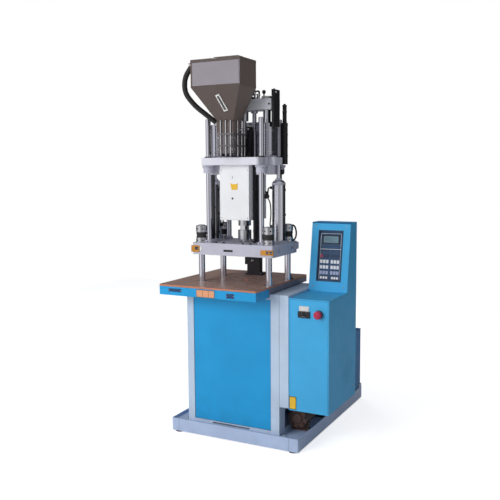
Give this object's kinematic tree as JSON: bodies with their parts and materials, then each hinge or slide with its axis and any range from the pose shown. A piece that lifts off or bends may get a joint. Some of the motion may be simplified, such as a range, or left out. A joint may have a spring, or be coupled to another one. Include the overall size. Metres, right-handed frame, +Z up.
{
  "type": "injection moulding machine",
  "caption": "Vertical injection moulding machine with a hydraulic clamp, hopper, barrel, control console and oil power unit on one base.",
  "frame": {"origin": "middle of the whole machine's footprint, on the floor under the levelling feet", "axes": "+Z up; -Y towards the operator at the table's front; +X towards the control box"},
  "size_m": [0.989, 1.237, 2.1553],
  "materials": {
    "light_grey_paint": "satin powder coat",
    "blue_paint": "satin powder coat",
    "plate_grey_paint": "satin enamel on machined plate",
    "table_brown": "glossy",
    "bed_grey": "painted casting",
    "chrome_rod": "hard chrome, ground",
    "bright_steel": "turned",
    "brass_block": "satin",
    "cylinder_grey": "satin enamel",
    "dark_steel": "blackened",
    "black_paint": "satin",
    "cover_white": "satin powder coat",
    "hopper_brown_grey": "satin enamel",
    "white_trim": "satin",
    "black_hose": "matte",
    "screen_glass": "liquid crystal window",
    "keypad_film": "overlay film",
    "dark_bezel": "satin",
    "black_plastic": "moulded",
    "red_plastic": "moulded",
    "rubber_pad": "matte",
    "motor_paint": "enamel",
    "cooler_rust": "dark, lightly rusted",
    "tank_blue": "satin powder coat"
  },
  "bodies": {
    "machine": {"base_frame": "light_grey_paint", "levelling_feet": "rubber_pad", "cabinet_frame": "light_grey_paint", "cabinet_panels": "blue_paint", "side_frame": "light_grey_paint", "bed_casting": "bed_grey", "table_top": "table_brown", "table_apron": "blue_paint", "tie_bar_bushes": "brass_block", "clamp_cylinder": "cylinder_grey", "cylinder_gland": "dark_steel", "oil_tank": "tank_blue", "tank_cap": "black_plastic", "pump_motor": "motor_paint", "pump_bell": "cylinder_grey", "hydraulic_pump": "dark_steel", "valve_manifold": "dark_steel", "solenoid_valves": "black_paint", "hydraulic_hoses": "black_hose", "oil_cooler": "cooler_rust", "switch_post": "black_paint", "control_box": "blue_paint", "console_bezel": "dark_bezel", "display_screen": "screen_glass", "keypad": "keypad_film", "switch_plate": "white_trim", "contactors": "black_plastic"},
    "clamp": {"clamp_ram": "chrome_rod", "lower_crosshead": "plate_grey_paint", "tie_bars": "chrome_rod", "moving_platen": "plate_grey_paint", "tie_bar_nuts": "bright_steel", "tie_bar_end_nuts": "dark_steel", "corner_blocks": "brass_block", "guide_rods": "chrome_rod", "seat_cylinders": "cylinder_grey"},
    "injection": {"seat_rods": "chrome_rod", "injection_plate": "plate_grey_paint", "rod_bushes": "plate_grey_paint", "barrel": "dark_steel", "heater_bands": "bright_steel", "nozzle": "bright_steel", "barrel_cover": "cover_white", "injection_cylinders": "cylinder_grey", "feed_throat": "dark_steel", "hopper": "hopper_brown_grey", "sight_window": "white_trim", "hopper_hose": "black_hose", "sensor_and_duct": "black_paint"},
    "injection_head": {"injection_rods": "chrome_rod", "injection_crosshead": "plate_grey_paint", "screw_motor": "black_paint", "stroke_box": "black_paint"},
    "screw": {"screw": "bright_steel"},
    "gate": {"hopper_gate": "bright_steel"},
    "lid": {"hopper_lid": "hopper_brown_grey"},
    "drive_shaft": {"shaft_coupling": "bright_steel"},
    "door": {"control_door": "blue_paint"},
    "rocker": {"power_rocker": "black_plastic"},
    "estop": {"estop_button": "red_plastic"}
  },
  "joints": [
    {"name": "clamp_slide", "type": "slide", "parent": "machine", "child": "clamp", "axis": [0, 0, 1], "range_m": [0, 0.18]},
    {"name": "seat_slide", "type": "slide", "parent": "clamp", "child": "injection", "axis": [0, 0, 1], "range_m": [0, 0.06]},
    {"name": "injection_slide", "type": "slide", "parent": "injection", "child": "injection_head", "axis": [0, 0, -1], "range_m": [0, 0.07]},
    {"name": "screw_spin", "type": "hinge", "parent": "injection_head", "child": "screw", "pos_m": [-0.0975, -0.2835, 1.8], "axis": [0, 0, 1], "continuous": true},
    {"name": "gate_slide", "type": "slide", "parent": "injection", "child": "gate", "axis": [1, 0, 0], "range_m": [0, 0.05]},
    {"name": "lid_hinge", "type": "hinge", "parent": "injection", "child": "lid", "pos_m": [-0.0975, -0.4255, 2.1513], "axis": [-1, 0, 0], "range_deg": [0, 100]},
    {"name": "drive_spin", "type": "hinge", "parent": "machine", "child": "drive_shaft", "pos_m": [-0.3595, 0.2165, 0.184], "axis": [0, 1, 0], "continuous": true},
    {"name": "door_hinge", "type": "hinge", "parent": "machine", "child": "door", "pos_m": [0.2785, -0.0043, 0.7], "axis": [0, 0, 1], "range_deg": [0, 110]},
    {"name": "rocker_tilt", "type": "hinge", "parent": "machine", "child": "rocker", "pos_m": [0.3505, -0.4555, 0.78], "axis": [1, 0, 0], "range_deg": [-12, 12]},
    {"name": "estop_push", "type": "slide", "parent": "machine", "child": "estop", "axis": [0, 1, 0], "range_m": [0, 0.006]}
  ]
}
